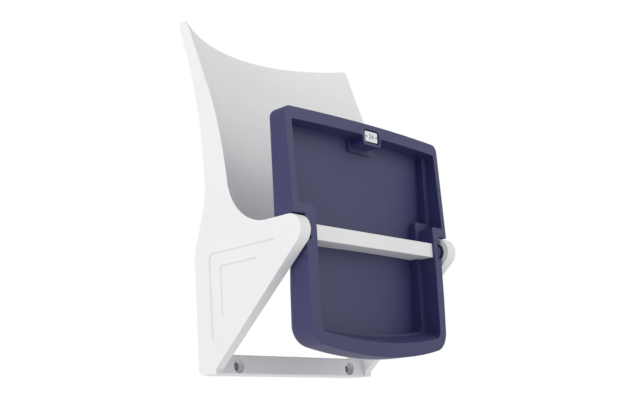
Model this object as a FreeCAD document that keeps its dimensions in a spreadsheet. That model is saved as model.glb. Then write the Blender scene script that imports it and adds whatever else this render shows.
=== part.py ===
import FreeCAD, Part
import math
import os
import re
import sys

import Sketcher

# Stadium seat with a tipping pan. Origin midway between the two riser bolts, on the riser's face.
# X runs across the seat, Y goes back to the riser, Z is up; the seat stands tipped up.

V = FreeCAD.Vector
doc = FreeCAD.newDocument("stadium_seat")
sheet = doc.addObject("Spreadsheet::Sheet", "sizes")

# Driving dimensions in millimetres; a lean is sideways travel per millimetre of height
SIZES = {
    # riser fixing
    "bolt_spacing": 312, "bolt_bore_dia": 13, "sleeve_wall": 2, "cap_bore_dia": 27, "cap_bore_depth": 11,
    # side frames
    "inner_half": 199.8, "side_wall": 18.95, "splay": 0.03, "foot_drop": 16, "foot_depth": 50,
    "foot_round": 11, "toe_round": 2, "knee_round": 8, "waist_height": 217,
    "waist_round": 55, "waist_lean": 0.38, "neck_depth": 40, "neck_round": 140, "neck_height": 349,
    "bar_bend": 1042, "bar_tip": 15, "bar_top_round": 9, "arm_fillet": 107, "nose_round": 29,
    "brace_slope": 0.873,
    # nested recesses in the side frames
    "recess_step": 3, "recess_rear": 41, "recess_top": 213, "recess_low": 40, "recess_front": 234,
    "recess_round": 14, "recess_tip": 4, "inset_rear": 28, "inset_top": 26, "inset_low": 46,
    "inset_front": 56, "inset_round": 9, "inset_tip": 3, "recess_draft": 40,
    # back shell
    "shell_skin": 4.5, "shell_bend": 372, "shell_low_lean": 0.135, "shell_high_lean": 0.401,
    "shell_curve": 881, "curve_depth": -25.7, "curve_height": 360, "shell_low": 266,
    "shell_top": 706, "shell_dip": 10.8, "shell_corner": 4,
    "seam_height": 330, "shell_gap": 0.2, "shell_top_bend": 4000, "open_margin": 18,
    # screws through the side frames into the shell
    "pillar_dia": 10, "pillar_length": 13, "pillar_half": 212, "pillar_low": 370, "pillar_drop": 180,
    "web": 4.5, "screw_dia": 4.4, "screw_head_dia": 8.6, "screw_head": 2.6, "screw_length": 17,
    "driver_size": 3, "driver_depth": 1.6, "pillar_root": 6, "pillar_clear": 0.2, "pillar_skin": 2,
    # crossbar
    "bar_front": 45, "bar_top": 21.5, "bar_wall": 4, "bar_round": 3, "boss_wall": 5, "cell_count": 4,
    "cell_rib": 3.5, "tab_length": 13, "tab_thick": 6, "tab_low": -9, "tab_high": 15,
    "tab_screw_length": 26, "tab_screw_offset": 7, "tab_screw_spread": 12,
    # pivot
    "pivot_depth": 267, "pivot_height": 221, "axle_dia": 12, "square_size": 10, "square_length": 14,
    "post_dia": 7, "post_length": 43, "run_gap": 0.05, "spacer_dia": 36, "spacer_thick": 3.4,
    "bush_wall": 2.5, "hub_dia": 30, "hub_gap": 0.6, "clip_thick": 2, "clip_dia": 15,
    "wire_dia": 2, "coil_dia": 12, "coil_pitch": 2.7, "coil_count": 12,
    # stops
    "stop_radius": 27, "stop_angle": 45, "peg_dia": 6, "peg_depth": 10, "rubber_dia": 8.4,
    "stop_travel": 86, "stop_play": 1.4, "slot_gap": 0.4, "stop_side_gap": 0.8,
    "peg_gap": 1,
    # seat pan, outside
    "pan_top": 456.7, "pan_top_half": 226.5, "shoulder_half": 223.5, "shoulder_height": 252,
    "pan_half": 195.5, "pan_low_half": 192, "pan_low_height": 23.5, "pan_turn_height": 120,
    "pan_turn_round": 200, "pan_bottom": -1,
    "pan_corner_half": 150, "pan_corner_height": 14.5, "pan_corner": 42, "pan_top_corner": 16,
    "front_depth": 291, "front_bend": 2016, "front_lean": 0.055, "rear_depth": 235,
    "rear_lean": -0.045, "rear_turn": 270, "rear_bend": 1701, "front_round": 2, "rear_round": 11,
    "rear_low_round": 23,
    # seat pan, underside
    "tray_half": 209.5, "tray_top": 432, "block_height": 270.5, "bay_half": 171.4, "tray_low": 26,
    "tray_low_bend": 1028, "tray_low_lean": 0.141, "tray_corner": 22, "floor_corner": 12, "tray_round": 4,
    "block_round": 8,
    "ledge_width": 14, "ledge_depth": 248, "ledge_low": 3, "ledge_holder": 9, "floor_depth": 230.5,
    "floor_lean": -0.032, "ramp_rise": 17, "ramp_drop": 12, "ramp_turn": 24,
    "relief_dia": 43, "relief_depth": 10, "slot_depth": 14,
    # number plate
    "plate_width": 35, "plate_height": 20.5, "plate_mid": 431.5, "plate_front": 278.6,
    "plate_thick": 4, "plate_round": 1.5, "pocket_width": 45, "pocket_height": 29, "pocket_round": 8,
    "holder_width": 52, "holder_drop": 19, "holder_round": 6, "rivet_pitch": 28, "rivet_dia": 2,
    "rivet_head": 0.6,
    "rivet_head_dia": 3.2, "rivet_length": 7,
    # beam
    "beam_low": 207, "beam_height": 29, "beam_front": 278, "beam_rear": 226, "beam_gap": 0.2,
    "beam_wall": 2.5, "beam_end": 4, "beam_round": 1.5, "beam_rib": 3, "rib_pitch": 60, "tongue_length": 5,
    "tongue_height": 14, "tongue_depth": 10, "tongue_set": 19,
    # how far blocks and cutters run past what they shape
    "stock_margin": 30, "cut_margin": 20, "bore_margin": 40, "overlap": 0.5,
}
for row, (alias, size) in enumerate(SIZES.items(), start=1):
    sheet.set(f"A{row}", alias)
    sheet.set(f"B{row}", str(size))
    sheet.setAlias(f"B{row}", alias)
doc.recompute()

# Working limits that only have to reach past the object
FAR = 420
HIGH = 900
names_pattern = re.compile(r"\b(" + "|".join(SIZES) + r")\b")


def cells(formula):
    """The formula with each size in it pointed at its cell."""
    return names_pattern.sub(r"sizes.\1", str(formula))


def number(formula):
    """What a formula of sizes comes to."""
    return float(sheet.evalExpression(cells(formula)))


def bind(item, **formulas):
    """Tie properties of an object to formulas; two underscores stand for a dot."""
    for name, formula in formulas.items():
        item.setExpression(name.replace("__", "."), cells(formula))


def plane(body, role):
    return [part for part in body.Origin.OriginFeatures if part.Role == role][0]


def new_sketch(body, name, role, lift="0", tilt="0", slide="0"):
    """A sketch on one of the body's own planes, lifted along its normal and tilted about its own X."""
    sketch = body.newObject("Sketcher::SketchObject", name)
    sketch.AttachmentSupport = [(plane(body, role), "")]
    sketch.MapMode = "FlatFace"
    turn = FreeCAD.Rotation(V(1, 0, 0), math.degrees(math.atan(number(tilt))))
    sketch.AttachmentOffset = FreeCAD.Placement(V(0, number(slide), number(lift)), turn)
    bind(sketch, AttachmentOffset__Base__z=lift, AttachmentOffset__Base__y=slide)
    if tilt != "0":
        bind(sketch, AttachmentOffset__Rotation__Angle=f"atan({tilt})")
    return sketch


def fix_point(sketch, geometry, end, x, y):
    for kind, formula in (("DistanceX", x), ("DistanceY", y)):
        index = sketch.addConstraint(Sketcher.Constraint(kind, -1, 1, geometry, end, number(formula)))
        sketch.setExpression(f"Constraints[{index}]", cells(formula))


def arc_through(start, end, radius, left):
    """Arc from start to end of the given radius, its centre to the left or right of the way."""
    chord = end - start
    normal = V(-chord.y, chord.x, 0).normalize() * (1 if left else -1)
    height = math.sqrt(max(radius ** 2 - (chord.Length / 2) ** 2, 0))
    centre = (start + end) * 0.5 + normal * height
    return Part.Arc(start, centre - normal * radius, end)


def add_outline(sketch, corners, arcs=None):
    """A closed outline. A corner is (x, y) or (x, y, round); arcs maps an edge to (radius, left)."""
    arcs = arcs or {}
    count = len(corners)
    points = [V(number(c[0]), number(c[1]), 0) for c in corners]
    starts = list(points)
    ends = list(points)
    rounds = {}
    for i, corner in enumerate(corners):
        if len(corner) < 3:
            continue
        here = points[i]
        back = (points[i - 1] - here).normalize()
        ahead = (points[(i + 1) % count] - here).normalize()
        half = back.getAngle(ahead) / 2
        radius = number(corner[2])
        reach = radius / math.tan(half)
        centre = here + (back + ahead).normalize() * (radius / math.sin(half))
        ends[i] = here + back * reach
        starts[i] = here + ahead * reach
        middle = centre + (here - centre).normalize() * radius
        rounds[i] = Part.Arc(ends[i], middle, starts[i])
    edges = []
    for i in range(count):
        after = (i + 1) % count
        if i in arcs:
            shape = arc_through(points[i], points[after], number(arcs[i][0]), arcs[i][1])
        else:
            shape = Part.LineSegment(starts[i], ends[after])
        edges.append(sketch.addGeometry(shape, False))
    tips = {}
    for i, edge in enumerate(edges):
        first = sketch.getPoint(edge, 1)
        swapped = (first - starts[i]).Length > (first - ends[(i + 1) % count]).Length
        tips[i] = (2, 1) if swapped else (1, 2)
        if i in arcs:
            index = sketch.addConstraint(Sketcher.Constraint("Radius", edge, number(arcs[i][0])))
            sketch.setExpression(f"Constraints[{index}]", cells(arcs[i][0]))
    for i, corner in enumerate(corners):
        before = edges[i - 1]
        before_tip = tips[(i - 1) % count][1]
        after = edges[i]
        after_tip = tips[i][0]
        if i not in rounds:
            sketch.addConstraint(Sketcher.Constraint("Coincident", before, before_tip, after, after_tip))
            fix_point(sketch, after, after_tip, corner[0], corner[1])
            continue
        point = sketch.addGeometry(Part.Point(points[i]), True)
        fix_point(sketch, point, 1, corner[0], corner[1])
        sketch.addConstraint(Sketcher.Constraint("PointOnObject", point, 1, before))
        sketch.addConstraint(Sketcher.Constraint("PointOnObject", point, 1, after))
        bend = sketch.addGeometry(rounds[i], False)
        first = sketch.getPoint(bend, 1)
        near = (first - ends[i]).Length < (first - starts[i]).Length
        enter, leave = (1, 2) if near else (2, 1)
        sketch.addConstraint(Sketcher.Constraint("Tangent", before, before_tip, bend, enter))
        sketch.addConstraint(Sketcher.Constraint("Tangent", bend, leave, after, after_tip))
        index = sketch.addConstraint(Sketcher.Constraint("Radius", bend, number(corner[2])))
        sketch.setExpression(f"Constraints[{index}]", cells(corner[2]))
    return sketch


def add_circle(sketch, x, y, radius):
    circle = Part.Circle(V(number(x), number(y), 0), V(0, 0, 1), number(radius))
    index = sketch.addGeometry(circle, False)
    fix_point(sketch, index, 3, x, y)
    limit = sketch.addConstraint(Sketcher.Constraint("Radius", index, number(radius)))
    sketch.setExpression(f"Constraints[{limit}]", cells(radius))


def mirrored(corners):
    """The right half's corners, from the centre line round to it, and their mirror image."""
    left = [(f"-({c[0]})", *c[1:]) for c in reversed(corners)]
    return list(corners) + left


def new_body(name):
    return doc.addObject("PartDesign::Body", name)


def pad(body, name, sketch, length, backwards=False):
    feature = body.newObject("PartDesign::Pad", name)
    feature.Profile = sketch
    feature.Length = number(length)
    bind(feature, Length=length)
    feature.Reversed = backwards
    doc.recompute()
    return feature


def pocket(body, name, sketch, length="", backwards=False):
    """A pocket of the given depth, or right through both ways where none is given."""
    before = body.Shape.Volume
    feature = body.newObject("PartDesign::Pocket", name)
    feature.Profile = sketch
    feature.Reversed = backwards
    if length:
        feature.Length = number(length)
        bind(feature, Length=length)
    else:
        feature.Type = "ThroughAll"
        feature.SideType = "Symmetric"
    doc.recompute()
    if not body.Shape.Volume < before:
        raise RuntimeError(f"{name} cuts nothing")
    return feature


def draft(feature, angle):
    """Lean the walls of a pocket inwards with depth."""
    feature.TaperAngle = -number(angle)
    bind(feature, TaperAngle=f"-{angle}")
    doc.recompute()
    return feature


def sweep(body, kind, name, profile, path):
    """The profile carried along the path without turning."""
    feature = body.newObject(f"PartDesign::{kind}Pipe", name)
    feature.Profile = profile
    doc.recompute()
    feature.Spine = (path, [f"Edge{i + 1}" for i in range(len(path.Shape.Edges))])
    feature.Mode = "Fixed"
    doc.recompute()
    return feature


def edges_where(shape, test):
    """Names of the edges whose middle point passes the test."""
    found = []
    for index, edge in enumerate(shape.Edges, start=1):
        middle = edge.valueAt((edge.FirstParameter + edge.LastParameter) / 2)
        if test(middle, edge):
            found.append(f"Edge{index}")
    return found


def soften(body, name, radius, test):
    """Round the edges that pass the test."""
    base = body.Tip
    names = edges_where(base.Shape, test)
    if not names:
        raise RuntimeError(f"{name} finds no edge")
    feature = body.newObject("PartDesign::Fillet", name)
    feature.Base = (base, names)
    feature.Radius = number(radius)
    bind(feature, Radius=radius)
    doc.recompute()
    if feature.State and ("Invalid" in feature.State or "Error" in feature.State):
        raise RuntimeError(f"{name} fails on {len(names)} edges")
    return feature


def cylinder(name, radius, length, at, along):
    """A Part cylinder from a point along +X, -X, +Y, -Y, +Z or -Z."""
    item = doc.addObject("Part::Cylinder", name)
    bind(item, Radius=radius, Height=length)
    turns = {"+X": (V(0, 1, 0), 90), "-X": (V(0, 1, 0), -90), "+Y": (V(1, 0, 0), -90),
             "-Y": (V(1, 0, 0), 90), "+Z": (V(0, 0, 1), 0), "-Z": (V(1, 0, 0), 180)}
    axis, angle = turns[along]
    item.Placement = FreeCAD.Placement(V(*[number(a) for a in at]), FreeCAD.Rotation(axis, angle))
    bind(item, Placement__Base__x=at[0], Placement__Base__y=at[1], Placement__Base__z=at[2])
    return item


def cut(name, base, tools):
    """Base less every tool."""
    result = base
    for index, tool in enumerate(tools):
        step = doc.addObject("Part::Cut", name if index == len(tools) - 1 else f"{name}_cut{index}")
        step.Base = result
        step.Tool = tool
        result = step
    doc.recompute()
    return result


def fuse(name, items):
    item = doc.addObject("Part::MultiFuse", name)
    item.Shapes = items
    doc.recompute()
    return item


def group(name, items):
    """Like pieces that stay separate solids under one name."""
    item = doc.addObject("Part::Compound", name)
    item.Links = items
    doc.recompute()
    return item


def mirror(name, source):
    item = doc.addObject("Part::Mirroring", name)
    item.Source = source
    item.Normal = V(1, 0, 0)
    doc.recompute()
    return item


finished = {}


def finish(name, item):
    """Take an object as a finished piece under its own name."""
    item.Label = name
    finished[name] = item
    return item


# Points that several pieces share
pivot_y = "(-pivot_depth)"
arm_top = "(pivot_height + nose_round)"
half_spacing = "(bolt_spacing/2)"
foot_half = "(inner_half + side_wall)"
beam_top = "(beam_low + beam_height)"
curve_centre_y = "(curve_depth + shell_curve*cos(atan(shell_low_lean)))"
curve_centre_z = "(curve_height - shell_curve*sin(atan(shell_low_lean)))"
curve_end_y = f"({curve_centre_y} - shell_curve*cos(atan(shell_high_lean)))"
curve_end_z = f"({curve_centre_z} + shell_curve*sin(atan(shell_high_lean)))"


def shell_mid(height):
    """Depth of the shell's front at the centre line, on its curved stretch."""
    return f"({curve_centre_y} - sqrt(shell_curve^2 - ({height} - {curve_centre_z})^2))"


def shell_path(body, name, low):
    """The shell's centre line from a height up past its top: straight, curved, straight."""
    path = new_sketch(body, name, "YZ_Plane")
    depth = f"(curve_depth - shell_low_lean*(curve_height - {low}))"
    top_z = "(shell_top + open_margin)"
    top_y = f"({curve_end_y} + shell_high_lean*({top_z} - {curve_end_z}))"
    stops = [(depth, low), ("curve_depth", "curve_height"), (curve_end_y, curve_end_z), (top_y, top_z)]
    points = [V(number(y), number(z), 0) for y, z in stops]
    path.addGeometry(Part.LineSegment(points[0], points[1]), False)
    bend = path.addGeometry(arc_through(points[1], points[2], number("shell_curve"), False), False)
    path.addGeometry(Part.LineSegment(points[2], points[3]), False)
    first = (path.getPoint(bend, 1) - points[1]).Length < 0.01
    enter, leave = (1, 2) if first else (2, 1)
    path.addConstraint(Sketcher.Constraint("Coincident", 0, 2, bend, enter))
    path.addConstraint(Sketcher.Constraint("Coincident", bend, leave, 2, 1))
    index = path.addConstraint(Sketcher.Constraint("Radius", bend, number("shell_curve")))
    path.setExpression(f"Constraints[{index}]", cells("shell_curve"))
    for geometry, end, (y, z) in ((0, 1, stops[0]), (0, 2, stops[1]), (2, 1, stops[2]), (2, 2, stops[3])):
        fix_point(path, geometry, end, y, z)
    return path, depth


def bow(depth, bend, across):
    """Depth at a distance across, on a plan arc that is furthest back at the centre line."""
    return f"({depth} - {bend} + sqrt({bend}^2 - ({across})^2))"


def shell_space(body, name, low, set_back, from_x, to_x, kind="Subtractive"):
    """Everything in front of the shell's face, set back by a thickness, above a height."""
    path, depth = shell_path(body, f"{name}_path", low)
    face = f"({depth} + {set_back})"
    profile = new_sketch(body, f"{name}_plan", "XY_Plane", lift=low)
    corners = [(from_x, bow(face, "shell_bend", from_x)), (to_x, bow(face, "shell_bend", to_x)),
               (to_x, f"-{FAR}"), (from_x, f"-{FAR}")]
    add_outline(profile, corners, {0: ("shell_bend", False)})
    doc.recompute()
    return sweep(body, kind, name, profile, path)


# Side frame: a slab between its upright inner face and its splayed outer one, with the arm's round
# nose in front, the brace running down from it to the foot, and the bar behind the shell's edge
nose_root = "sqrt(1 + brace_slope^2)"
nose_y = f"({pivot_y} - nose_round*brace_slope/{nose_root})"
nose_z = f"(pivot_height - nose_round/{nose_root})"
knee_y = "(-foot_depth)"
knee_z = f"({nose_z} - brace_slope*({knee_y} - {nose_y}))"
neck_z = "(waist_height + neck_depth/waist_lean)"
bar_height = "(shell_top - bar_tip)"
bar_reach = f"({bar_height} - neck_height)"
bar_y = f"(-neck_depth + bar_bend - sqrt(bar_bend^2 - {bar_reach}^2))"
bar_slope = f"({bar_reach}/sqrt(bar_bend^2 - {bar_reach}^2))"

side_body = new_body("right_side_body")
side_sketch = new_sketch(side_body, "side_outline", "YZ_Plane", lift="inner_half")
side_corners = [
    ("0", "-foot_drop", "foot_round"),
    ("0", "waist_height", "waist_round"),
    ("-neck_depth", neck_z, "neck_round"),
    ("-neck_depth", "neck_height"),
    (bar_y, bar_height),
    (f"{bar_y} + bar_tip*{bar_slope}", "shell_top", "bar_top_round"),
    (pivot_y, "shell_top"),
    (pivot_y, arm_top),
    (f"{pivot_y} - nose_round", "pivot_height"),
    (nose_y, nose_z),
    (knee_y, knee_z, "knee_round"),
    (knee_y, "-foot_drop", "toe_round"),
]
side_arcs = {3: ("bar_bend", False), 7: ("nose_round", True), 8: ("nose_round", True)}
add_outline(side_sketch, side_corners, side_arcs)
doc.recompute()
pad(side_body, "side_slab", side_sketch, "side_wall + splay*shell_top + 2")


def splayed_sketch(name, set_in):
    """A sketch plane parallel to the splayed outer face; heights are measured up from the origin."""
    return new_sketch(side_body, name, "YZ_Plane", lift=f"{foot_half} - {set_in}", tilt="splay")


trim = splayed_sketch("splay_trim", "0")
whole_view = [(f"-{FAR}", f"-{FAR}"), (f"{FAR}", f"-{FAR}"), (f"{FAR}", f"{HIGH}"), (f"-{FAR}", f"{HIGH}")]
add_outline(trim, whole_view)
doc.recompute()
pocket(side_body, "splayed_face", trim, str(FAR), backwards=True)


def splayed(height):
    """Where the outer faces stand at a height."""
    return f"({foot_half} + splay*({height}))"


def sag(across):
    """How far a point across lies in front of the shell's centre line."""
    return f"(shell_bend - sqrt(shell_bend^2 - ({across})^2))"


open_start = "(inner_half - open_margin)"
top_half = splayed("shell_top")
open_end = f"({top_half} + open_margin)"
dip_height = "(shell_top - shell_dip)"
tip_inner = "(inner_half - 1)"
tip_low = "(shell_top - 3*shell_corner)"
tip_slope = f"(shell_dip/{top_half})"
tip_view = new_sketch(side_body, "tip_view", "XZ_Plane")
add_outline(tip_view, [(splayed(tip_low), tip_low), (top_half, "shell_top", "shell_corner"),
                       (tip_inner, f"shell_top - ({top_half} - {tip_inner})*{tip_slope}"),
                       (tip_inner, f"{HIGH}"), (f"{FAR}", f"{HIGH}"), (f"{FAR}", tip_low)])
doc.recompute()
pocket(side_body, "rounded_tip", tip_view)
open_view = new_sketch(side_body, "open_view", "YZ_Plane", lift=open_start)
open_top = "(shell_top + open_margin)"
open_corners = [
    (f"-{FAR}", arm_top),
    (f"curve_depth - shell_low_lean*(curve_height - {arm_top}) - {sag(open_start)}", arm_top, "arm_fillet"),
    (f"curve_depth - {sag(open_start)}", "curve_height"),
    (f"{curve_end_y} - {sag(open_start)}", curve_end_z),
    (f"{curve_end_y} + shell_high_lean*({open_top} - {curve_end_z}) - {sag(open_start)}", open_top),
    (f"-{FAR}", open_top),
]
add_outline(open_view, open_corners, {2: ("shell_curve", False)})
open_path = new_sketch(side_body, "open_path", "XY_Plane", lift=arm_top)
path_points = [V(number(x), -number(sag(x)), 0) for x in (open_start, open_end)]
open_path.addGeometry(arc_through(path_points[0], path_points[1], number("shell_bend"), False), False)
first = (open_path.getPoint(0, 1) - path_points[0]).Length < 0.01
fix_point(open_path, 0, 1 if first else 2, open_start, f"-{sag(open_start)}")
fix_point(open_path, 0, 2 if first else 1, open_end, f"-{sag(open_end)}")
index = open_path.addConstraint(Sketcher.Constraint("Radius", 0, number("shell_bend")))
open_path.setExpression(f"Constraints[{index}]", cells("shell_bend"))
doc.recompute()
sweep(side_body, "Subtractive", "open_front", open_view, open_path)
shell_space(side_body, "shell_seat", "seam_height", "shell_skin", open_start, open_end)

outer_recess = splayed_sketch("outer_recess", "0")
add_outline(outer_recess, [("-recess_rear", "recess_top", "recess_round"),
                           ("-recess_front", "recess_top", "recess_tip"),
                           ("-recess_rear", "recess_low", "recess_tip")])
doc.recompute()
draft(pocket(side_body, "outer_recess_step", outer_recess, "recess_step"), "recess_draft")
inner_recess = splayed_sketch("inner_recess", "recess_step")
add_outline(inner_recess, [("-recess_rear - inset_rear", "recess_top - inset_top", "inset_round"),
                           ("-recess_front + inset_front", "recess_top - inset_top", "inset_tip"),
                           ("-recess_rear - inset_rear", "recess_low + inset_low", "inset_tip")])
doc.recompute()
draft(pocket(side_body, "inner_recess_step", inner_recess, "recess_step"), "recess_draft")

# Seats in the side frame for the crossbar's tab, the axle's square, the stop peg and the screws
tab_seat = new_sketch(side_body, "tab_seat", "XZ_Plane")
add_outline(tab_seat, [("inner_half - 1", "tab_low"), ("inner_half + tab_length", "tab_low"),
                       ("inner_half + tab_length", "tab_high"), ("inner_half - 1", "tab_high")])
doc.recompute()
pocket(side_body, "tab_recess", tab_seat, "tab_thick", backwards=True)
square_seat = new_sketch(side_body, "square_seat", "YZ_Plane", lift="inner_half")
half_square = "square_size/2"
add_outline(square_seat, [(f"{pivot_y} - {half_square}", f"pivot_height - {half_square}"),
                          (f"{pivot_y} + {half_square}", f"pivot_height - {half_square}"),
                          (f"{pivot_y} + {half_square}", f"pivot_height + {half_square}"),
                          (f"{pivot_y} - {half_square}", f"pivot_height + {half_square}")])
doc.recompute()
pocket(side_body, "square_socket", square_seat, "square_length", backwards=True)
stop_y = f"({pivot_y} + stop_radius*cos(stop_angle*1deg))"
stop_z = "(pivot_height + stop_radius*sin(stop_angle*1deg))"
peg_seat = new_sketch(side_body, "peg_seat", "YZ_Plane", lift="inner_half")
add_circle(peg_seat, stop_y, stop_z, "peg_dia/2")
doc.recompute()
pocket(side_body, "peg_socket", peg_seat, "peg_depth", backwards=True)

pillar_x = "pillar_half"
pillar_pitch = "((shell_top - pillar_low - pillar_drop)/2)"
tab_screw_x = "(inner_half + tab_screw_offset)"
tab_mid = "((tab_low + tab_high)/2)"
frame_tools = []
back_screws = []
pillars = []


def screw(name, at, along, length):
    """A socket-head screw: a head at the given point, its shank running on along the way."""
    sign = "+" if along[0] == "+" else "-"
    step = lambda d: (at[0], f"{at[1]} {sign} {d}", at[2])
    head = cylinder(f"{name}_head", "screw_head_dia/2", "screw_head", at, along)
    shank = cylinder(f"{name}_shank", "screw_dia/2", f"{length} - screw_head", step("screw_head"), along)
    socket = cylinder(f"{name}_socket", "driver_size/2", "driver_depth", at, along)
    body = fuse(f"{name}_blank", [head, shank])
    return cut(name, body, [socket])


for index in range(3):
    height = f"(pillar_low + {index}*{pillar_pitch})"
    face = bow(f"({shell_mid(height)} + shell_skin)", "shell_bend", pillar_x)
    tip = f"({face} + pillar_length + pillar_clear)"
    seat = f"({tip} + web)"
    on_axis = lambda y: (pillar_x, y, height)
    head_radius = "(screw_head_dia/2 + pillar_clear)"
    frame_tools += [
        cylinder(f"pillar_bore{index}", "pillar_dia/2", "bore_margin", on_axis(f"{tip} - bore_margin"), "+Y"),
        cylinder(f"shank_bore{index}", "screw_dia/2", "web + 2*overlap", on_axis(f"{tip} - overlap"), "+Y"),
        cylinder(f"head_bore{index}", head_radius, "2*bore_margin", on_axis(seat), "+Y"),
    ]
    back_screws.append(screw(f"back_screw{index}", on_axis(f"({seat} + screw_head)"), "-Y", "screw_length"))
    pillar = cylinder(f"pillar{index}", "pillar_dia/2", "pillar_length + pillar_root",
                      on_axis(f"{face} - pillar_root"), "+Y")
    bore = cylinder(f"pillar_hole{index}", "screw_dia/2", "pillar_length",
                    on_axis(f"{face} + pillar_skin"), "+Y")
    pillars.append((pillar, bore))
bar_screws = []
for index in range(2):
    height = f"({tab_mid} + ({index} - 0.5)*tab_screw_spread)"
    at = (tab_screw_x, "0", height)
    frame_tools.append(cylinder(f"tab_bore{index}", "screw_dia/2", "tab_screw_length", at, "-Y"))
    bar_screws.append(screw(f"bar_screw{index}", at, "-Y", "tab_screw_length"))
right_side = cut("right_side", side_body, frame_tools)
finish("right_side_frame", right_side)
finish("left_side_frame", mirror("left_side", right_side))
all_screws = group("right_back_screws", back_screws)
finish("back_screws", group("shell_screw_set", [all_screws, mirror("left_back_screws", all_screws)]))
all_bar = group("right_bar_screws", bar_screws)
finish("crossbar_screws", group("bar_screw_set", [all_bar, mirror("left_bar_screws", all_bar)]))

# Back shell: a plan arc carried up the centre line, trimmed to the side frames' outer planes
shell_body = new_body("shell_body")
path, low_depth = shell_path(shell_body, "shell_path", "shell_low")
band = new_sketch(shell_body, "shell_plan", "XY_Plane", lift="shell_low")
reach = open_end
back_of = f"({low_depth} + shell_skin)"
front_edge = bow(low_depth, "shell_bend", reach)
rear_edge = bow(back_of, "shell_bend", reach)
band_corners = [(f"-{reach}", front_edge), (reach, front_edge), (reach, rear_edge), (f"-{reach}", rear_edge)]
add_outline(band, band_corners, {0: ("shell_bend", False), 2: ("shell_bend", True)})
doc.recompute()
sweep(shell_body, "Additive", "shell_sheet", band, path)
front_view = new_sketch(shell_body, "shell_front_view", "XZ_Plane")
inside = "(inner_half - shell_gap)"
shell_right = [(inside, "shell_low"), (inside, "seam_height"), (splayed("seam_height"), "seam_height"),
               (top_half, "shell_top", "shell_corner")]
top_dip = ("0", dip_height, "shell_top_bend")
shell_left = [(f"-({c[0]})", *c[1:]) for c in reversed(shell_right)]
add_outline(front_view, shell_right + [top_dip] + shell_left)
add_outline(front_view, whole_view)
doc.recompute()
pocket(shell_body, "shell_trim", front_view)
pillar_space = new_body("pillar_space")
shell_space(pillar_space, "skin_front", "shell_low", "shell_skin/3", f"-{top_half}", top_half, "Additive")
pillar_set = group("pillar_set", [pillar for pillar, bore in pillars])
right_pillars = cut("right_pillars", pillar_set, [pillar_space])
right_bores = group("pillar_hole_set", [bore for pillar, bore in pillars])
shell_blank = fuse("shell_blank", [shell_body, right_pillars, mirror("left_pillars", right_pillars)])
finish("back_shell", cut("shell", shell_blank, [right_bores, mirror("left_pillar_holes", right_bores)]))

# Crossbar between the feet: a box moulding, hollow behind, with a boss round each riser bolt
bar_body = new_body("crossbar_body")
bar_view = new_sketch(bar_body, "bar_view", "XZ_Plane")
bar_right = [("inner_half", "-foot_drop"), ("inner_half", "bar_top")]
add_outline(bar_view, mirrored(bar_right))
doc.recompute()
pad(bar_body, "bar_block", bar_view, "bar_front")
soften(bar_body, "bar_edges", "bar_round",
       lambda p, e: abs(p.x) < 1 and p.y < -1)
tab_view = new_sketch(bar_body, "tab_view", "XZ_Plane")
tab_right = [("inner_half - 1", "tab_low"), ("inner_half + tab_length", "tab_low"),
             ("inner_half + tab_length", "tab_high"), ("inner_half - 1", "tab_high")]
add_outline(tab_view, tab_right)
add_outline(tab_view, [(f"-({c[0]})", c[1]) for c in tab_right])
doc.recompute()
pad(bar_body, "bar_tabs", tab_view, "tab_thick")
boss_half = "(bolt_bore_dia/2 + sleeve_wall + boss_wall)"
cell_span = f"(2*({half_spacing} - {boss_half}))"
cell_width = f"(({cell_span} - (cell_count - 1)*cell_rib)/cell_count)"
cell_view = new_sketch(bar_body, "cell_view", "XZ_Plane")
cell_left = f"(-{cell_span}/2)"
cell_right = f"({cell_left} + {cell_width})"
cell_low = "(-foot_drop + bar_wall)"
cell_high = "(bar_top - bar_wall)"
add_outline(cell_view, [(cell_left, cell_low), (cell_right, cell_low), (cell_right, cell_high),
                        (cell_left, cell_high)])
doc.recompute()
cell = pocket(bar_body, "bar_cell", cell_view, "bar_front - bar_wall", backwards=True)
row = bar_body.newObject("PartDesign::LinearPattern", "bar_cells")
row.Originals = [cell]
row.Direction = (cell_view, ["H_Axis"])
row.Length = number(f"(cell_count - 1)*({cell_width} + cell_rib)")
bind(row, Length=f"(cell_count - 1)*({cell_width} + cell_rib)")
row.Occurrences = int(number("cell_count"))
bind(row, Occurrences="cell_count")
bar_body.Tip = row
doc.recompute()
cap_bores = new_sketch(bar_body, "cap_bores", "XZ_Plane", lift="bar_front")
sleeve_bores = new_sketch(bar_body, "sleeve_bores", "XZ_Plane")
sleeve_radius = "(bolt_bore_dia/2 + sleeve_wall)"
for side in ("-", ""):
    add_circle(cap_bores, f"{side}{half_spacing}", "0", "cap_bore_dia/2")
    add_circle(sleeve_bores, f"{side}{half_spacing}", "0", sleeve_radius)
doc.recompute()
pocket(bar_body, "cap_bore_pair", cap_bores, "cap_bore_depth")
pocket(bar_body, "sleeve_bore_pair", sleeve_bores)
bar_bores = []
bar_heads = []
for index in range(2):
    at = (tab_screw_x, "overlap", f"({tab_mid} + ({index} - 0.5)*tab_screw_spread)")
    bar_bores.append(cylinder(f"bar_tab_bore{index}", "screw_dia/2", "tab_thick + 2*overlap", at, "-Y"))
    bar_heads.append(cylinder(f"bar_tab_head{index}", "screw_head_dia/2", "screw_head + overlap", at, "-Y"))
tab_holes = group("tab_holes", bar_bores)
tab_heads = group("tab_heads", bar_heads)
crossbar = cut("crossbar", bar_body, [tab_holes, tab_heads, mirror("left_tab_holes", tab_holes),
                                      mirror("left_tab_heads", tab_heads)])
finish("mounting_crossbar", crossbar)

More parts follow.
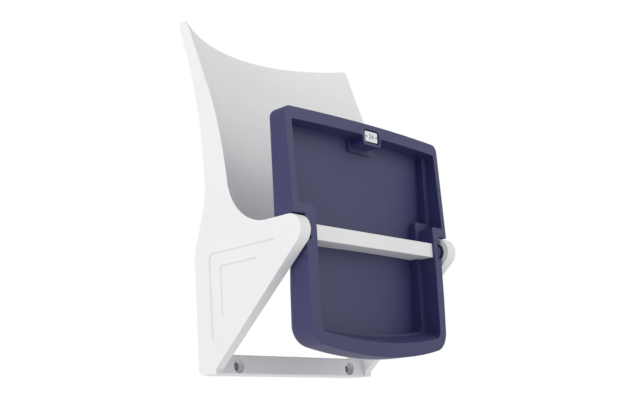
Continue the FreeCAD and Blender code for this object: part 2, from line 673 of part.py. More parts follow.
# Steel sleeves that take the clamping force of the riser bolts
sleeves = []
for side in ("-", ""):
    length = "(bar_front - cap_bore_depth)"
    at = (f"{side}{half_spacing}", "0", "0")
    outer = cylinder(f"sleeve{side}_outer", sleeve_radius, length, at, "-Y")
    inner = cylinder(f"sleeve{side}_inner", "bolt_bore_dia/2", length, at, "-Y")
    sleeves.append(cut(f"sleeve{side}", outer, [inner]))
finish("bolt_sleeves", group("sleeve_pair", sleeves))

# Pivot in each arm: a steel axle keyed by its square end, a spacer ring, a bush in the pan
journal_end = "(bay_half - beam_end)"
post_end = f"({journal_end} - post_length)"
axle_at = lambda x: (x, pivot_y, "pivot_height")
relief_floor = "(pan_half - relief_depth)"
square = doc.addObject("Part::Box", "axle_square")
bind(square, Length="square_length", Width="square_size", Height="square_size",
     Placement__Base__x="inner_half", Placement__Base__y=f"{pivot_y} - square_size/2",
     Placement__Base__z="pivot_height - square_size/2")
journal = cylinder("axle_journal", "axle_dia/2", "inner_half - bay_half", axle_at("bay_half"), "+X")
post = cylinder("axle_post", "post_dia/2", f"bay_half - {post_end}", axle_at(post_end), "+X")
finish("pivot_axle_right", fuse("right_axle", [square, journal, post]))
finish("pivot_axle_left", mirror("left_axle", finished["pivot_axle_right"]))
spacer_at = axle_at("inner_half - spacer_thick")
spacer = cut("right_spacer", cylinder("spacer_disc", "spacer_dia/2", "spacer_thick", spacer_at, "+X"),
             [cylinder("spacer_hole", "axle_dia/2", "spacer_thick", spacer_at, "+X")])
finish("pivot_spacer_right", spacer)
finish("pivot_spacer_left", mirror("left_spacer", spacer))
bush_radius = "(axle_dia/2 + run_gap + bush_wall)"
bush_tube = cylinder("bush_tube", bush_radius, f"{relief_floor} - bay_half", axle_at("bay_half"), "+X")
hub_length = f"inner_half - spacer_thick - hub_gap - {relief_floor}"
bush_hub = cylinder("bush_hub", "hub_dia/2", hub_length, axle_at(relief_floor), "+X")
bush_hole = cylinder("bush_hole", "axle_dia/2 + run_gap", "inner_half - bay_half", axle_at("bay_half - 1"),
                     "+X")
bush = cut("right_bush", fuse("bush_blank", [bush_tube, bush_hub]), [bush_hole])
finish("pivot_bush_right", bush)
finish("pivot_bush_left", mirror("left_bush", bush))
clip_hole = cylinder("clip_hole", "post_dia/2", "clip_thick", axle_at(post_end), "+X")
tang_hole = cylinder("clip_tang_hole", "wire_dia/2 + run_gap", "clip_thick",
                     (post_end, f"{pivot_y} + coil_dia/2", "pivot_height"), "+X")
clip = cut("right_clip", cylinder("clip_disc", "clip_dia/2", "clip_thick", axle_at(post_end), "+X"),
           [clip_hole, tang_hole])
finish("spring_retainer_right", clip)
finish("spring_retainer_left", mirror("left_clip", clip))

# Return spring: a torsion coil round the axle's post, with a straight tang at each end
coil_start = f"({post_end} + clip_thick + wire_dia)"
coil_run = "(coil_pitch*coil_count)"


def spring_shape():
    """Quarter-turn arcs up a helix about Z, with a straight tang at each end along the axis."""
    radius = number("coil_dia/2")
    wire = number("wire_dia/2")
    pitch = number("coil_pitch")
    turns = int(number("coil_count"))

    def on_helix(turn):
        angle = 2 * math.pi * turn
        return V(radius * math.cos(angle), radius * math.sin(angle), pitch * turn)

    quarters = [Part.Arc(on_helix(q / 4), on_helix(q / 4 + 0.125), on_helix(q / 4 + 0.25)).toShape()
                for q in range(4 * turns)]
    path = Part.Wire(quarters)
    ring = Part.Wire([Part.makeCircle(wire, on_helix(0), quarters[0].tangentAt(quarters[0].FirstParameter))])
    coil = path.makePipeShell([ring], True, False)
    reach_low = number(f"{coil_start} - {post_end} - 0.3")
    reach_high = number(f"bay_half - 1 - {coil_start} - {coil_run}")
    low = Part.makeCylinder(wire * 0.99, reach_low, on_helix(0), V(0, 0, -1))
    high = Part.makeCylinder(wire * 0.99, reach_high, on_helix(turns), V(0, 0, 1))
    length = 2 * math.pi * radius * turns
    share = coil.Volume / (math.pi * wire ** 2 * length)
    print(f"spring wire {length:.0f} mm, coil volume {share:.3f} of the sum")
    return coil.fuse([low, high])


spring = doc.addObject("Part::Feature", "right_spring")
spring.Shape = spring_shape()
spring.Placement = FreeCAD.Placement(V(number(coil_start), -number("pivot_depth"), number("pivot_height")),
                                     FreeCAD.Rotation(V(0, 0, 1), V(1, 0, 0)).multiply(
                                         FreeCAD.Rotation(V(0, 0, 1), 90)))
finish("return_spring_right", spring)
finish("return_spring_left", mirror("left_spring", spring))

# Stop pegs pressed into the arms, each with a rubber sleeve
peg_start = "(pan_half - slot_depth + peg_gap)"
peg = cylinder("right_peg", "peg_dia/2", f"inner_half + peg_depth - {peg_start}",
               (peg_start, stop_y, stop_z), "+X")
finish("stop_peg_right", peg)
finish("stop_peg_left", mirror("left_peg", peg))
rubber_start = "(pan_half - slot_depth + stop_side_gap)"
rubber_length = f"inner_half - 0.3 - {rubber_start}"
rubber_at = (rubber_start, stop_y, stop_z)
rubber = cut("right_rubber", cylinder("rubber_outer", "rubber_dia/2", rubber_length, rubber_at, "+X"),
             [cylinder("rubber_hole", "peg_dia/2", rubber_length, rubber_at, "+X")])
finish("stop_sleeve_right", rubber)
finish("stop_sleeve_left", mirror("left_rubber", rubber))

# Seat pan: front and rear faces are plan arcs carried along leaning centre lines


def leaning_path(body, name, depth, leans, low, turn, high):
    """A centre line that leans one way, or one way below the turning height and another above."""
    path = new_sketch(body, name, "YZ_Plane")
    first = f"({depth} - {leans[0]}*({turn} - ({low})))"
    last = f"({depth} + {leans[-1]}*({high} - ({turn})))"
    stops = [(first, low), (last, high)]
    if len(leans) > 1:
        stops.insert(1, (depth, turn))
    points = [V(number(y), number(z), 0) for y, z in stops]
    for index in range(len(points) - 1):
        path.addGeometry(Part.LineSegment(points[index], points[index + 1]), False)
        fix_point(path, index, 1, *stops[index])
    if len(leans) > 1:
        path.addConstraint(Sketcher.Constraint("Coincident", 0, 2, 1, 1))
    fix_point(path, len(points) - 2, 2, *stops[-1])
    return path, first


def bowed_cut(body, name, depth, bend, leans, turn, forward):
    """Take away what lies in front of or behind a bowed, leaning face."""
    low = "(pan_bottom - stock_margin)"
    high = "(pan_top + stock_margin)"
    path, first = leaning_path(body, f"{name}_path", depth, leans, low, turn, high)
    profile = new_sketch(body, f"{name}_plan", "XY_Plane", lift=low)
    reach = "(pan_top_half + cut_margin)"
    far = f"-{FAR}" if forward else "(-rear_depth/2)"
    face = f"({first} + {bend} - sqrt({bend}^2 - {reach}^2))"
    add_outline(profile, [(f"-{reach}", face), (reach, face), (reach, far), (f"-{reach}", far)],
                {0: (bend, True)})
    doc.recompute()
    return sweep(body, "Subtractive", name, profile, path)


def on_face(point, depth, bend, leans, turn, slack):
    """Whether a point lies on a bowed, leaning face."""
    lean = number(leans[-1] if point.z > number(turn) else leans[0])
    curve = number(bend)
    face = number(depth) + lean * (point.z - number(turn)) + curve - math.sqrt(curve ** 2 - point.x ** 2)
    return abs(point.y - face) < slack


front_face = ("(-front_depth)", "front_bend", ["0", "front_lean"], "pivot_height")
rear_face = ("(-rear_depth)", "rear_bend", ["rear_lean", "0"], "rear_turn")

pan_body = new_body("pan_body")
pan_view = new_sketch(pan_body, "pan_view", "XZ_Plane", lift="rear_depth - stock_margin")
pan_right = [("pan_corner_half", "pan_corner_height"), ("pan_low_half", "pan_low_height", "pan_corner"),
             ("pan_half", "pan_turn_height", "pan_turn_round"), ("pan_half", "shoulder_height"),
             ("shoulder_half", "shoulder_height"), ("pan_top_half", "pan_top", "pan_top_corner")]
bottom_drop = "(pan_corner_height - pan_bottom)"
bottom_bend = f"((pan_corner_half^2 + {bottom_drop}^2)/(2*{bottom_drop}))"
pan_corners = mirrored(pan_right)
add_outline(pan_view, pan_corners, {len(pan_corners) - 1: (bottom_bend, True)})
doc.recompute()
pad(pan_body, "pan_block", pan_view, "front_depth - rear_depth + 2*stock_margin")
bowed_cut(pan_body, "pan_front", *front_face, True)
bowed_cut(pan_body, "pan_rear", *rear_face, False)
doc.recompute()


bend_line = lambda p, turn: abs(p.x) < 1 and abs(p.z - number(turn)) < 1
soften(pan_body, "pan_front_edges", "front_round",
       lambda p, e: on_face(p, *front_face, 0.05) and not bend_line(p, "pivot_height"))
behind = lambda p, e: on_face(p, *rear_face, 0.6) and on_face(e.Vertexes[0].Point, *rear_face, 0.05)
soften(pan_body, "pan_rear_low_edges", "rear_low_round",
       lambda p, e: behind(p, e) and p.z < number("shoulder_height") - 1)
soften(pan_body, "pan_rear_edges", "rear_round",
       lambda p, e: behind(p, e) and p.z > number("shoulder_height") + 1 and not bend_line(p, "rear_turn"))

# The space in the pan's underside: a wide upper stage, and a floor a ledge further in
core = new_body("tray_core")
low_corner = f"(tray_low - tray_low_bend*(sqrt(1 + tray_low_lean^2) - 1))"


def tray_outline(sketch, ledge, low_step, holder_step, corner):
    bay = f"(bay_half - {ledge})"
    side = f"(tray_half - {ledge})"
    block = f"(block_height + {ledge})"
    low = f"({low_corner} + {low_step})"
    holder = f"(holder_width/2 + {holder_step})"
    holder_low = f"(tray_top - holder_drop - {holder_step})"
    right = [(bay, f"{low} + tray_low_lean*{bay}", corner), (bay, block, "block_round"),
             (side, block, "tray_round"), (side, "tray_top", "tray_round"),
             (holder, "tray_top", "tray_round"), (holder, holder_low, "holder_round")]
    left = [(f"-({c[0]})", *c[1:]) for c in reversed(right)]
    add_outline(sketch, [("0", low, "tray_low_bend")] + right + left)
    doc.recompute()
    return sketch


core_far = "(front_depth + cut_margin)"
upper_stage = new_sketch(core, "upper_stage", "XZ_Plane", lift="ledge_depth")
pad(core, "upper_space", tray_outline(upper_stage, "0", "0", "0", "tray_corner"), f"{core_far} - ledge_depth")
lower_stage = new_sketch(core, "lower_stage", "XZ_Plane", lift="rear_depth - stock_margin")
pad(core, "lower_space",
    tray_outline(lower_stage, "ledge_width", "ramp_rise + ledge_low", "ledge_holder", "floor_corner"),
    f"{core_far} - rear_depth + stock_margin")
beam_stage = new_sketch(core, "beam_stage", "XZ_Plane", lift="rear_depth - stock_margin")
add_outline(beam_stage, mirrored([("bay_half", "beam_low"), ("bay_half", beam_top)]))
doc.recompute()
pad(core, "beam_space", beam_stage, f"{core_far} - rear_depth + stock_margin")
bowed_cut(core, "floor", "(-floor_depth)", "rear_bend", ["floor_lean"], "0", False)
ramp = new_sketch(core, "ramp", "YZ_Plane", slide="tray_low + tray_low_bend")
ramp_end = "(overlap - ledge_depth)"
add_outline(ramp, [("-front_depth", "-tray_low_bend"), ("-front_depth", "-tray_low_bend - ramp_drop"),
                   (ramp_end, "-tray_low_bend - ramp_drop"), (ramp_end, "-tray_low_bend + ramp_rise")])
doc.recompute()
ramp_cut = core.newObject("PartDesign::Groove", "ramp_cut")
ramp_cut.Profile = ramp
ramp_cut.ReferenceAxis = (ramp, ["H_Axis"])
ramp_cut.Angle = number("ramp_turn")
bind(ramp_cut, Angle="ramp_turn")
ramp_cut.Midplane = True
doc.recompute()

# Cuts round each pivot: a relief for the arm's nose, the bush's hole, the stop's slot, a tongue's pocket
relief = cylinder("relief", "relief_dia/2", "relief_depth + 3", axle_at(relief_floor), "+X")
bush_seat = cylinder("bush_seat", bush_radius, f"{relief_floor} - bay_half + 4*overlap",
                     axle_at("bay_half - 2*overlap"), "+X")
slot_body = new_body("slot_body")
slot_view = new_sketch(slot_body, "slot_view", "YZ_Plane", lift="pan_half - slot_depth")
slot_half = "(rubber_dia/2 + slot_gap)"


def slot_point(radius, angle):
    return (f"{pivot_y} + {radius}*cos({angle}*1deg)", f"pivot_height + {radius}*sin({angle}*1deg)")


outer_radius = f"(stop_radius + {slot_half})"
inner_radius = f"(stop_radius - {slot_half})"
low_angle = "(stop_angle - stop_travel - stop_play)"
high_angle = "(stop_angle + stop_play)"
cap = f"{slot_half}*1.02"
add_outline(slot_view, [slot_point(outer_radius, low_angle), slot_point(outer_radius, high_angle),
                        slot_point(inner_radius, high_angle), slot_point(inner_radius, low_angle)],
            {0: (outer_radius, True), 1: (cap, True), 2: (inner_radius, False), 3: (cap, True)})
doc.recompute()
pad(slot_body, "slot_space", slot_view, "slot_depth + 3")


def tongue_box(name, grow):
    box = doc.addObject("Part::Box", name)
    bind(box, Length=f"tongue_length + {grow}", Width="tongue_depth", Height="tongue_height",
         Placement__Base__x="bay_half", Placement__Base__y=f"{pivot_y} + tongue_set - tongue_depth",
         Placement__Base__z="pivot_height - tongue_height/2")
    return box


tongue_seat = tongue_box("tongue_seat", "0.3")
pivot_cuts = fuse("pivot_cuts", [relief, bush_seat, slot_body, tongue_seat])
plate_space = new_body("plate_space")
plate_floor = "(plate_front - plate_thick)"


def plate_outline(sketch, width, height, corner):
    corners = [(f"{x}{width}/2", f"plate_mid {z} {height}/2", corner)
               for x, z in (("-", "-"), ("", "-"), ("", "+"), ("-", "+"))]
    add_outline(sketch, corners)
    doc.recompute()
    return sketch


pocket_view = new_sketch(plate_space, "pocket_view", "XZ_Plane", lift=plate_floor)
pad(plate_space, "plate_pocket", plate_outline(pocket_view, "pocket_width", "pocket_height", "pocket_round"),
    f"front_depth - {plate_floor}")
rivet_at = lambda side: (f"{side}rivet_pitch/2", "(-plate_front)", "plate_mid")
rivet_holes = [cylinder(f"rivet_hole{side}", "rivet_dia/2", "rivet_length", rivet_at(side), "+Y")
               for side in ("-", "")]
pan_cuts = [core, pivot_cuts, mirror("left_pivot_cuts", pivot_cuts), plate_space]
pan = cut("pan", pan_body, pan_cuts + rivet_holes)
finish("seat_pan", pan)

# Beam across the pan: a hollow moulding open to the floor, its ends keyed in the pan by tongues
beam_body = new_body("beam_body")
beam_view = new_sketch(beam_body, "beam_view", "XZ_Plane", lift="beam_rear")
add_outline(beam_view, mirrored([("bay_half", "beam_low"), ("bay_half", beam_top)]))
doc.recompute()
pad(beam_body, "beam_block", beam_view, "beam_front - beam_rear")
bowed_cut(beam_body, "beam_back", "(-floor_depth - beam_gap)", "rear_bend", ["floor_lean"], "0", False)
soften(beam_body, "beam_edges", "beam_round",
       lambda p, e: abs(p.x) < 1 and p.y < -number("beam_front") + 0.1)
hollow_view = new_sketch(beam_body, "hollow_view", "XZ_Plane", lift="beam_rear")
stations = ["-(bay_half - beam_end)", "-rib_pitch", "0", "rib_pitch", "bay_half - beam_end"]
for index in range(len(stations) - 1):
    start = f"({stations[index]} + {'0' if index == 0 else 'beam_rib/2'})"
    end = f"({stations[index + 1]} - {'0' if index == len(stations) - 2 else 'beam_rib/2'})"
    add_outline(hollow_view, [(start, "beam_low + beam_wall"), (end, "beam_low + beam_wall"),
                              (end, f"{beam_top} - beam_wall"), (start, f"{beam_top} - beam_wall")])
doc.recompute()
pocket(beam_body, "beam_hollow", hollow_view, "beam_front - beam_rear - beam_wall", backwards=True)
post_hole = cylinder("post_hole", "post_dia/2 + 0.3", "beam_end + 2", axle_at(f"{journal_end} - 1"), "+X")
end_tang_hole = cylinder("end_tang_hole", "wire_dia/2 + run_gap", "beam_end + 1",
                         (f"{journal_end} - 1", f"{pivot_y} + coil_dia/2", "pivot_height"), "+X")
beam_holes = group("beam_holes", [post_hole, end_tang_hole])
tongue = tongue_box("tongue", "0")
beam_blank = fuse("beam_blank", [beam_body, tongue, mirror("left_tongue", tongue)])
finish("seat_beam", cut("beam", beam_blank, [beam_holes, mirror("left_beam_holes", beam_holes)]))

# Number plate in its pocket, with two rivets
plate_body = new_body("plate_body")
plate_view = new_sketch(plate_body, "plate_view", "XZ_Plane", lift=plate_floor)
plate_outline(plate_view, "plate_width", "plate_height", "plate_round")
pad(plate_body, "plate_blank", plate_view, "plate_thick")
plate_holes = [cylinder(f"plate_hole{side}", "rivet_dia/2", "plate_thick", rivet_at(side), "+Y")
               for side in ("-", "")]
finish("number_plate", cut("plate", plate_body, plate_holes))
rivets = []
for side in ("-", ""):
    shank = cylinder(f"rivet_shank{side}", "rivet_dia/2", "rivet_length", rivet_at(side), "+Y")
    head = cylinder(f"rivet_head{side}", "rivet_head_dia/2", "rivet_head", rivet_at(side), "-Y")
    rivets.append(fuse(f"rivet{side}", [shank, head]))
finish("plate_rivets", group("rivet_pair", rivets))

# Every object has to be sound before anything is written
doc.recompute()
faults = [item.Name for item in doc.Objects if "Invalid" in item.State or "Error" in item.State]
for name, item in finished.items():
    if item.Shape.isNull() or not item.Shape.isValid() or not item.Shape.Solids:
        faults.append(name)
if faults:
    print("failed:", ", ".join(faults))
    sys.exit(1)
os.makedirs("parts", exist_ok=True)
for name, item in finished.items():
    item.Shape.exportStep(f"parts/{name}.step")
    print(f"{name}: {len(item.Shape.Solids)} solids, {item.Shape.Volume / 1000:.1f} cm3")
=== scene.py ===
import math

import bpy
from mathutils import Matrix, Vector
from mathutils.bvhtree import BVHTree


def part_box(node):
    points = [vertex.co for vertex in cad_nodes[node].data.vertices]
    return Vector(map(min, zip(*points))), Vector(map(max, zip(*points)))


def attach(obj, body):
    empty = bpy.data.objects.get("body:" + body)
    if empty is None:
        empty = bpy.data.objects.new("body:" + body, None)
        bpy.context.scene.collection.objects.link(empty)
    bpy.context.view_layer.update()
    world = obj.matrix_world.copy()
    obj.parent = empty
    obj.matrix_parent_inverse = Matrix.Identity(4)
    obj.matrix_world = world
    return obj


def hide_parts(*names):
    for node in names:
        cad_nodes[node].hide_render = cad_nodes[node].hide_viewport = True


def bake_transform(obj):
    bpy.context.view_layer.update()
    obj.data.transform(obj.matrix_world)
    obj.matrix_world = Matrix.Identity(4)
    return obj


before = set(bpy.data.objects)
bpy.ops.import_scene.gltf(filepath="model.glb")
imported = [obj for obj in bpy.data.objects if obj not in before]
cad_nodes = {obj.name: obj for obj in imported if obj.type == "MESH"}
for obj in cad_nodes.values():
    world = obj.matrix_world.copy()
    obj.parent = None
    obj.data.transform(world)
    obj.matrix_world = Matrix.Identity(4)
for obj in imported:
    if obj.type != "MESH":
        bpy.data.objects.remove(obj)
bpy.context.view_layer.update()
bpy.ops.object.select_all(action="DESELECT")

# Side frames
# Each is one white polypropylene moulding, about 19 mm thick, that makes a foot, a brace and an arm
# and runs up behind the edge of the back. Two nested triangular steps are moulded in its outer face.
white_colour = (0.80, 0.80, 0.81, 1.0)
frame_edge = 0.0016
grain_size = 0.0009
grain_height = 0.00012
grain_detail = 3
cloud_scale = 9
cloud_detail = 4
cloud_tone = 0.94


def moulded_plastic(name, colour, roughness, spread, depth, specular=0.5):
    """Injection-moulded plastic: a fine spark-eroded grain, and a gloss and tone that drift a little."""
    material = bpy.data.materials.new(name)
    material.use_nodes = True
    nodes = material.node_tree.nodes
    links = material.node_tree.links
    shader = nodes["Principled BSDF"]
    shader.inputs["Specular IOR Level"].default_value = specular
    place = nodes.new("ShaderNodeTexCoord")
    grain = nodes.new("ShaderNodeTexNoise")
    grain.inputs["Scale"].default_value = 1 / grain_size
    grain.inputs["Detail"].default_value = grain_detail
    links.new(place.outputs["Object"], grain.inputs["Vector"])
    bump = nodes.new("ShaderNodeBump")
    bump.inputs["Strength"].default_value = depth
    bump.inputs["Distance"].default_value = grain_height
    links.new(grain.outputs["Fac"], bump.inputs["Height"])
    links.new(bump.outputs["Normal"], shader.inputs["Normal"])
    drift = nodes.new("ShaderNodeTexNoise")
    drift.inputs["Scale"].default_value = cloud_scale
    drift.inputs["Detail"].default_value = cloud_detail
    links.new(place.outputs["Object"], drift.inputs["Vector"])
    gloss = nodes.new("ShaderNodeMapRange")
    gloss.inputs["To Min"].default_value = roughness - spread
    gloss.inputs["To Max"].default_value = roughness + spread
    links.new(drift.outputs["Fac"], gloss.inputs["Value"])
    links.new(gloss.outputs["Result"], shader.inputs["Roughness"])
    tone = nodes.new("ShaderNodeMix")
    tone.data_type = "RGBA"
    tone.inputs["A"].default_value = colour
    tone.inputs["B"].default_value = tuple(c * cloud_tone for c in colour[:3]) + (1.0,)
    links.new(drift.outputs["Fac"], tone.inputs["Factor"])
    links.new(tone.outputs["Result"], shader.inputs["Base Color"])
    return material


def finish_piece(piece, material, body, slot, *stands_for):
    """Give a piece its material, the body it moves with and the CAD nodes it stands for. Its slot is not
    used.
    """
    piece.data.materials.clear()
    piece.data.materials.append(material)
    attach(piece, body)
    if stands_for:
        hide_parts(*stands_for)
    piece.select_set(False)


def pick(piece):
    """Make a piece the only one selected, and the active one."""
    bpy.ops.object.select_all(action="DESELECT")
    piece.select_set(True)
    bpy.context.view_layer.objects.active = piece


def modify(piece, kind, **settings):
    """Add a modifier with its settings and apply it."""
    pick(piece)
    modifier = piece.modifiers.new(kind.lower(), kind)
    for name, value in settings.items():
        setattr(modifier, name, value)
    bpy.ops.object.modifier_apply(modifier=modifier.name)


def merged_copy(node, name, weld=0.00001):
    """A piece of its own on a CAD node's mesh, with its loose triangles joined up."""
    piece = bpy.data.objects.new(name, cad_nodes[node].data.copy())
    bpy.context.scene.collection.objects.link(piece)
    pick(piece)
    bpy.ops.object.mode_set(mode="EDIT")
    bpy.ops.mesh.select_all(action="SELECT")
    bpy.ops.mesh.remove_doubles(threshold=weld)
    bpy.ops.mesh.normals_make_consistent(inside=False)
    bpy.ops.object.mode_set(mode="OBJECT")
    return piece


def eased_copy(node, name, width, *joined, flat=math.radians(0.2), crease=math.radians(28), touch=0.0008):
    """A moulding on a merged copy of a CAD node. Its sharp edges are eased, except along a joint."""
    piece = merged_copy(node, name)
    bpy.ops.object.mode_set(mode="EDIT")
    bpy.ops.mesh.select_all(action="SELECT")
    bpy.ops.mesh.dissolve_limited(angle_limit=flat)
    bpy.ops.mesh.select_all(action="DESELECT")
    bpy.ops.mesh.edges_select_sharp(sharpness=crease)
    bpy.ops.object.mode_set(mode="OBJECT")
    neighbours = []
    for other in joined:
        mesh = cad_nodes[other].data
        points = [vertex.co for vertex in mesh.vertices]
        neighbours.append(BVHTree.FromPolygons(points, [face.vertices for face in mesh.polygons]))
    weights = piece.data.attributes.new("bevel_weight_edge", "FLOAT", "EDGE")
    for edge in piece.data.edges:
        middle = sum((piece.data.vertices[i].co for i in edge.vertices), Vector()) / 2
        meets = any(surface.find_nearest(middle, touch)[0] for surface in neighbours)
        weights.data[edge.index].value = float(edge.select and not meets)
    modify(piece, "BEVEL", width=width, segments=3, limit_method="WEIGHT", use_clamp_overlap=True)
    bpy.ops.object.shade_smooth_by_angle(angle=crease)
    modify(piece, "WEIGHTED_NORMAL", keep_sharp=True)
    return piece


white_plastic = moulded_plastic("white_plastic", white_colour, roughness=0.42, spread=0.05, depth=0.10)
for side in ("left", "right"):
    panel = eased_copy(f"{side}_side_frame", f"{side}_frame_panel", frame_edge,
                       "back_shell", "mounting_crossbar")
    finish_piece(panel, white_plastic, "frame", "white_moulding", f"{side}_side_frame")

# Back
# A thin curved sheet of white polypropylene, moulded with hollow posts behind its edges that seat
# in the side frames. Its lower edge ends above the pan and its top dips a little in the middle.
shell_edge = 0.0012
back = eased_copy("back_shell", "back_sheet", shell_edge, "left_side_frame", "right_side_frame")
finish_piece(back, white_plastic, "frame", "white_moulding", "back_shell")

# Crossbar
# A cored box moulding between the two feet, held by screws through tabs let into the feet. It has a
# round pocket in front of each riser bolt.
bar_edge = 0.0006
crossbar = eased_copy("mounting_crossbar", "crossbar", bar_edge, "left_side_frame", "right_side_frame")
finish_piece(crossbar, white_plastic, "frame", "white_moulding", "mounting_crossbar")

# Metal parts
# Zinc-plated steel: sleeves for the riser bolts, screws, axles, spring retainers and stop pegs. Dark
# nylon rings space the arms from the pan; their near-black colour is also painted shade in the notch of
# the pan rim at each pivot.
zinc_colour = (0.55, 0.56, 0.58, 1.0)
# Near-black nylon for the rivets and the spacers; on the spacers it also stands in for painted shade in
# the rim notch.
nylon_and_notch_shade_colour = (0.022, 0.022, 0.030, 1.0)
drawn_lines = (60, 2500, 2500)
line_height = 0.00005
line_depth = 0.15
smoothest = 0.75
roughest = 1.35


def plated_steel(name, colour, roughness):
    """Plated or oiled steel, with fine drawn lines and a cloudy gloss."""
    material = bpy.data.materials.new(name)
    material.use_nodes = True
    nodes = material.node_tree.nodes
    links = material.node_tree.links
    shader = nodes["Principled BSDF"]
    shader.inputs["Metallic"].default_value = 1.0
    shader.inputs["Base Color"].default_value = colour
    place = nodes.new("ShaderNodeTexCoord")
    stretch = nodes.new("ShaderNodeMapping")
    stretch.inputs["Scale"].default_value = drawn_lines
    lines = nodes.new("ShaderNodeTexNoise")
    lines.inputs["Scale"].default_value = 1
    links.new(place.outputs["Object"], stretch.inputs["Vector"])
    links.new(stretch.outputs["Vector"], lines.inputs["Vector"])
    gloss = nodes.new("ShaderNodeMapRange")
    gloss.inputs["To Min"].default_value = roughness * smoothest
    gloss.inputs["To Max"].default_value = roughness * roughest
    links.new(lines.outputs["Fac"], gloss.inputs["Value"])
    links.new(gloss.outputs["Result"], shader.inputs["Roughness"])
    bump = nodes.new("ShaderNodeBump")
    bump.inputs["Strength"].default_value = line_depth
    bump.inputs["Distance"].default_value = line_height
    links.new(lines.outputs["Fac"], bump.inputs["Height"])
    links.new(bump.outputs["Normal"], shader.inputs["Normal"])
    return material


def dress(node, material):
    """Give a CAD node that stays in view its material."""
    piece = cad_nodes[node]
    piece.data.materials.clear()
    piece.data.materials.append(material)


zinc_steel = plated_steel("zinc_steel", zinc_colour, roughness=0.32)
dark_nylon = moulded_plastic("dark_nylon", nylon_and_notch_shade_colour, roughness=0.40, spread=0.05, depth=0.10)
for node in ("bolt_sleeves", "back_screws", "crossbar_screws"):
    dress(node, zinc_steel)
for side in ("left", "right"):
    for node in ("pivot_axle", "spring_retainer", "stop_peg"):
        dress(f"{node}_{side}", zinc_steel)
    # Painted shade: the spacer's dark colour stands in for the shadow inside the notch of the pan rim.
    dress(f"pivot_spacer_{side}", dark_nylon)

# Return springs
# A torsion coil of oiled wire round the post of each axle, inside the beam. Its inner tang is held by
# the retainer on the post, and its outer one turns with the beam and brings the seat up.
wire_colour = (0.20, 0.20, 0.21, 1.0)
wire_crease = math.radians(40)
spring_wire = plated_steel("spring_wire", wire_colour, roughness=0.38)
for side, way in (("left", -1), ("right", 1)):
    node = f"return_spring_{side}"
    coil = merged_copy(node, f"{side}_coil")
    bpy.ops.object.shade_smooth_by_angle(angle=wire_crease)
    coil.data.materials.clear()
    coil.data.materials.append(spring_wire)
    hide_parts(node)
    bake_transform(coil)

# Stop sleeves
# Black rubber tubes pushed over the stop pegs, so that the pan comes up and down softly.
rubber_colour = (0.020, 0.020, 0.021, 1.0)
rubber = moulded_plastic("stop_rubber", rubber_colour, roughness=0.75, spread=0.06, depth=0.5,
                         specular=0.3)
for side in ("left", "right"):
    dress(f"stop_sleeve_{side}", rubber)

# Seat pan
# One dark blue polypropylene moulding, a shallow tray open underneath, with a deep rim, ledges along
# its sides and a holder for the number plate. Its dark blue bushes are pressed into the rim.
navy_colour = (0.010, 0.010, 0.095, 1.0)
pan_edge = 0.0010
navy_plastic = moulded_plastic("navy_plastic", navy_colour, roughness=0.58, spread=0.05, depth=0.08,
                               specular=1.0)
pan = eased_copy("seat_pan", "tray_pan", pan_edge)
finish_piece(pan, navy_plastic, "seat", "navy_moulding", "seat_pan")
for side in ("left", "right"):
    dress(f"pivot_bush_{side}", navy_plastic)

# Beam
# A white hollow moulding laid across the pan between its side ledges. It joins the two pivots and
# hides the springs.
beam_edge = 0.0008
beam = eased_copy("seat_beam", "cross_beam", beam_edge)
finish_piece(beam, white_plastic, "seat", "white_moulding", "seat_beam")

# Number plate
# A white glossy plate in a pocket of the holder, with a plain seat number printed on it, held by two
# small dark rivets.
plate_colour = (0.83, 0.84, 0.86, 1.0)
ink_colour = (0.035, 0.035, 0.040, 1.0)
plate_plastic = moulded_plastic("plate_plastic", plate_colour, roughness=0.22, spread=0.04, depth=0.04)
print_ink = moulded_plastic("print_ink", ink_colour, roughness=0.45, spread=0.05, depth=0.05)
plate_edge = 0.0004
plate = eased_copy("number_plate", "plate", plate_edge)
finish_piece(plate, plate_plastic, "seat", "plate_white", "number_plate")
dress("plate_rivets", dark_nylon)
plate_low, plate_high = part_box("number_plate")
number_height = 0.0105
digit_share = 0.7
upright = (math.radians(90), 0, 0)
print_thickness = 0.00012
bpy.ops.object.text_add(location=(0, 0, 0))
number = bpy.context.object
number.name = "seat_number"
number.data.body = "24"
number.data.size = number_height / digit_share
number.data.align_x = "CENTER"
number.data.align_y = "CENTER"
number.data.extrude = print_thickness / 2
bpy.ops.object.convert(target="MESH")
number.rotation_euler = upright
number.location = (0, plate_low.y - print_thickness / 2, (plate_low.z + plate_high.z) / 2)
bpy.ops.object.transform_apply(location=True, rotation=True, scale=True)
finish_piece(number, print_ink, "seat", "dark_nylon")

# Floor, light and camera
# A plain pale floor, lower than the camera, and an even studio light that is weaker from below.
floor_height = -0.70
floor_size = 30
floor_colour = (0.90, 0.90, 0.90, 1.0)
floor_roughness = 0.9
bpy.ops.mesh.primitive_plane_add(size=floor_size, location=(0, 0, floor_height))
floor = bpy.context.object
floor.name = "studio_floor"
floor_material = bpy.data.materials.new("floor_paper")
floor_material.use_nodes = True
floor_shader = floor_material.node_tree.nodes["Principled BSDF"]
floor_shader.inputs["Base Color"].default_value = floor_colour
floor_shader.inputs["Roughness"].default_value = floor_roughness
floor.data.materials.append(floor_material)

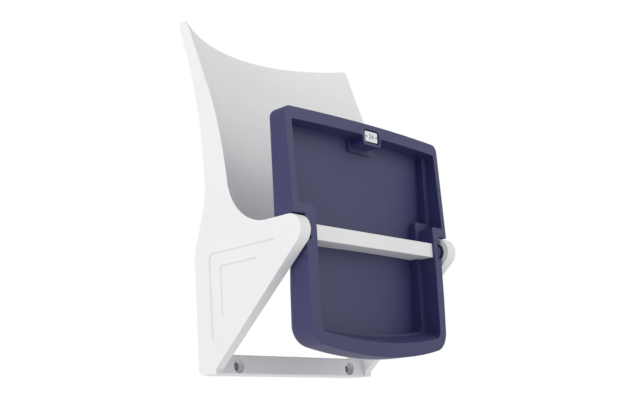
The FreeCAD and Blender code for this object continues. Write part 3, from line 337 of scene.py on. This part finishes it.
shade_start = -0.3
shade_end = 0.6
light_below = 0.70
light_above = 0.78
backdrop_white = 1.0
world = bpy.data.worlds.new("studio")
bpy.context.scene.world = world
world.use_nodes = True
sky = world.node_tree.nodes
sky_links = world.node_tree.links
direction = sky.new("ShaderNodeTexCoord")
split = sky.new("ShaderNodeSeparateXYZ")
sky_links.new(direction.outputs["Generated"], split.inputs["Vector"])
shade = sky.new("ShaderNodeMapRange")
shade.inputs["From Min"].default_value = shade_start
shade.inputs["From Max"].default_value = shade_end
shade.inputs["To Min"].default_value = light_below
shade.inputs["To Max"].default_value = light_above
sky_links.new(split.outputs["Z"], shade.inputs["Value"])
light_path = sky.new("ShaderNodeLightPath")
seen = sky.new("ShaderNodeMix")
seen.data_type = "FLOAT"
sky_links.new(light_path.outputs["Is Camera Ray"], seen.inputs["Factor"])
sky_links.new(shade.outputs["Result"], seen.inputs["A"])
seen.inputs["B"].default_value = backdrop_white
sky_links.new(seen.outputs["Result"], sky["Background"].inputs["Strength"])
sky["Background"].inputs["Color"].default_value = (1.0, 1.0, 1.0, 1.0)

seat_middle = Vector((0, -0.1, 0.35))


def softbox(name, place, size, power, mirrored):
    """A square soft light aimed at the middle of the seat. Its own reflection is seen or left out."""
    bpy.ops.object.light_add(type="AREA", location=place)
    lamp = bpy.context.object
    lamp.name = name
    lamp.data.size = size
    lamp.data.energy = power
    lamp.visible_glossy = mirrored
    aim = seat_middle - Vector(place)
    lamp.rotation_euler = aim.to_track_quat("-Z", "Y").to_euler()


softbox("key_light", place=(-2.9, 0.2, 1.3), size=2.0, power=33, mirrored=False)
softbox("front_light", place=(0.9, -2.9, 1.9), size=2.4, power=18, mirrored=True)

camera_place = (-1.4419, -1.5110, -0.1418)
camera_turn = (103.4075, 2.5824, -45.4855)
bpy.ops.object.camera_add(location=camera_place)
camera = bpy.context.object
camera.rotation_euler = [math.radians(angle) for angle in camera_turn]
camera.data.sensor_width = 36
camera.data.lens = 56.693
camera.data.clip_start = 0.01
bpy.context.scene.camera = camera
bpy.context.scene.view_settings.view_transform = "Standard"
